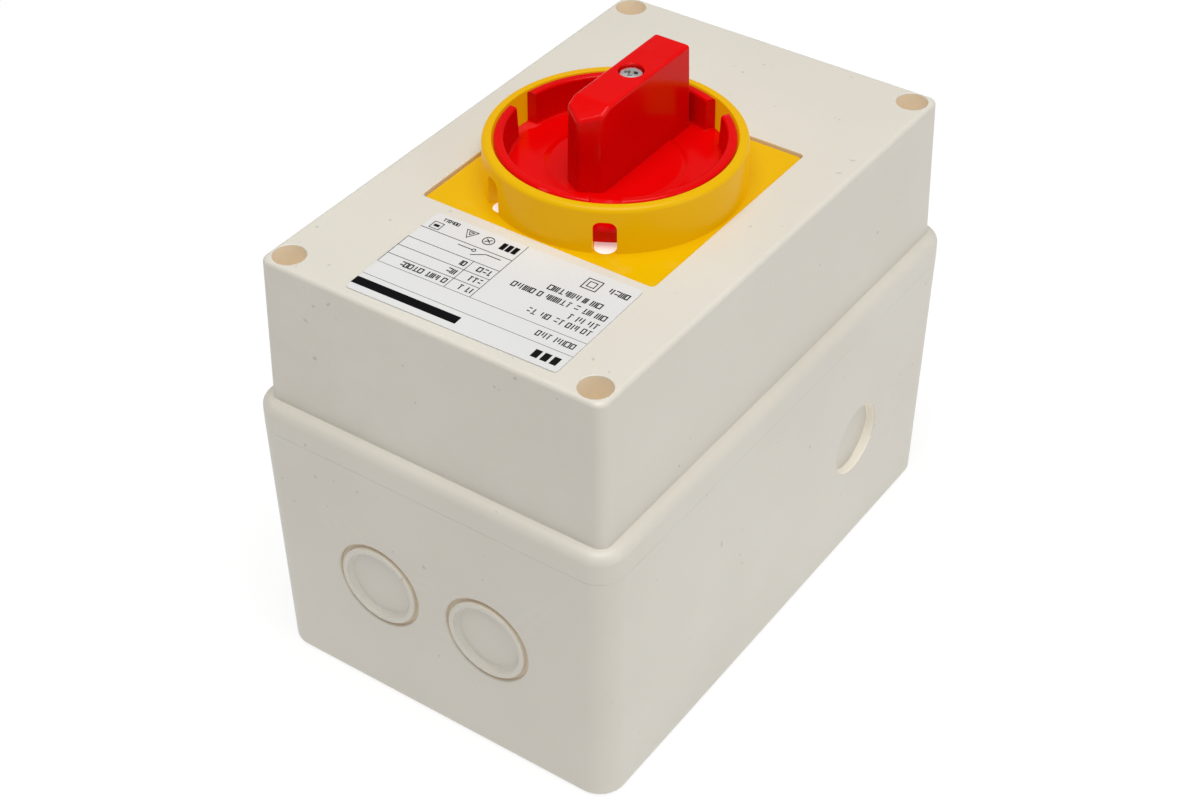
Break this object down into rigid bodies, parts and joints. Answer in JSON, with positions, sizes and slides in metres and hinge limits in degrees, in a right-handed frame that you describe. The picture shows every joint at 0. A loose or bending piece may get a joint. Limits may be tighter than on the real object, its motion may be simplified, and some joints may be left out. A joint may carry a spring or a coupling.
{
  "type": "rotary isolator switch",
  "caption": "Enclosed rotary isolator: a wall box with a lid, a padlockable square front plate, a bar-grip handle and a cam switch inside.",
  "frame": {"origin": "centre of the rear face of the box, in the wall's plane", "axes": "+Z out of the front, along the handle's axis; +Y up the wall, towards the end with the label; +X to the right, seen from the front"},
  "size_m": [0.102, 0.1544, 0.1426],
  "materials": {
    "shell": "warm off-white, fine satin",
    "yellow_plastic": "satin safety yellow",
    "red_plastic": "high gloss signal red",
    "white_sheet": "soft white sheet",
    "label": "printed white film",
    "black_plastic": "moulded black",
    "grey_plastic": "moulded grey",
    "natural_plastic": "natural nylon",
    "zinc_plated": "bright zinc",
    "steel": "plain steel",
    "contact_brass": "bright brass",
    "rubber": "black rubber"
  },
  "bodies": {
    "enclosure": {"enclosure_base": "shell", "enclosure_lid": "shell", "lid_gasket": "rubber", "lid_screw_1": "zinc_plated", "lid_screw_2": "zinc_plated", "lid_screw_3": "zinc_plated", "lid_screw_4": "zinc_plated", "front_plate": "yellow_plastic", "plate_seal": "white_sheet", "plate_screw_1": "zinc_plated", "plate_screw_2": "zinc_plated", "plate_screw_3": "zinc_plated", "plate_screw_4": "zinc_plated", "shaft_seal": "rubber", "rating_label": "label", "latch_housing": "black_plastic", "latch_plate": "steel", "detent_spring_1": "steel", "detent_spring_2": "steel", "contact_chamber_1": "grey_plastic", "contact_chamber_2": "grey_plastic", "contact_spring_1": "steel", "contact_spring_2": "steel", "contact_spring_3": "steel", "pole_1_line_contact": "contact_brass", "pole_1_line_screw": "zinc_plated", "pole_1_load_contact": "contact_brass", "pole_1_load_screw": "zinc_plated", "pole_2_line_contact": "contact_brass", "pole_2_line_screw": "zinc_plated", "pole_2_load_contact": "contact_brass", "pole_2_load_screw": "zinc_plated", "pole_3_line_contact": "contact_brass", "pole_3_line_screw": "zinc_plated", "pole_3_load_contact": "contact_brass", "pole_3_load_screw": "zinc_plated", "rear_cover": "grey_plastic", "tie_bolt_1": "zinc_plated", "tie_bolt_2": "zinc_plated"},
    "handle": {"handle": "red_plastic", "handle_screw": "zinc_plated", "drive_hub": "black_plastic", "drive_shaft": "steel", "index_wheel": "natural_plastic", "switching_cam_1": "natural_plastic", "switching_cam_2": "natural_plastic"},
    "contact_set_1": {"contact_plunger_1": "natural_plastic", "contact_bridge_1": "contact_brass"},
    "contact_set_2": {"contact_plunger_2": "natural_plastic", "contact_bridge_2": "contact_brass"},
    "contact_set_3": {"contact_plunger_3": "natural_plastic", "contact_bridge_3": "contact_brass"},
    "detent_1": {"detent_plunger_1": "natural_plastic"},
    "detent_2": {"detent_plunger_2": "natural_plastic"}
  },
  "joints": [
    {"name": "handle_turn", "type": "hinge", "parent": "enclosure", "child": "handle", "pos_m": [0, 0, 0.1176], "axis": [0, 0, -1], "range_deg": [0, 90]},
    {"name": "contact_1_stroke", "type": "slide", "parent": "enclosure", "child": "contact_set_1", "axis": [1, 0, 0], "range_m": [0, 0.003], "deforming": ["contact_spring_1"]},
    {"name": "contact_2_stroke", "type": "slide", "parent": "enclosure", "child": "contact_set_2", "axis": [-1, 0, 0], "range_m": [0, 0.003], "deforming": ["contact_spring_2"]},
    {"name": "contact_3_stroke", "type": "slide", "parent": "enclosure", "child": "contact_set_3", "axis": [1, 0, 0], "range_m": [0, 0.003], "deforming": ["contact_spring_3"]},
    {"name": "detent_1_stroke", "type": "slide", "parent": "enclosure", "child": "detent_1", "axis": [1, 0, 0], "range_m": [0, 0.0015], "stiffness_N_per_m": 400, "springref_m": 0.0025, "deforming": ["detent_spring_1"]},
    {"name": "detent_2_stroke", "type": "slide", "parent": "enclosure", "child": "detent_2", "axis": [-1, 0, 0], "range_m": [0, 0.0015], "stiffness_N_per_m": 400, "springref_m": 0.0025, "deforming": ["detent_spring_2"]}
  ],
  "couplings": [
    {"joint": "contact_1_stroke", "follows": "handle_turn", "m_per_rad": 0.0019098},
    {"joint": "contact_2_stroke", "follows": "handle_turn", "m_per_rad": 0.0019098},
    {"joint": "contact_3_stroke", "follows": "handle_turn", "m_per_rad": 0.0019098}
  ]
}
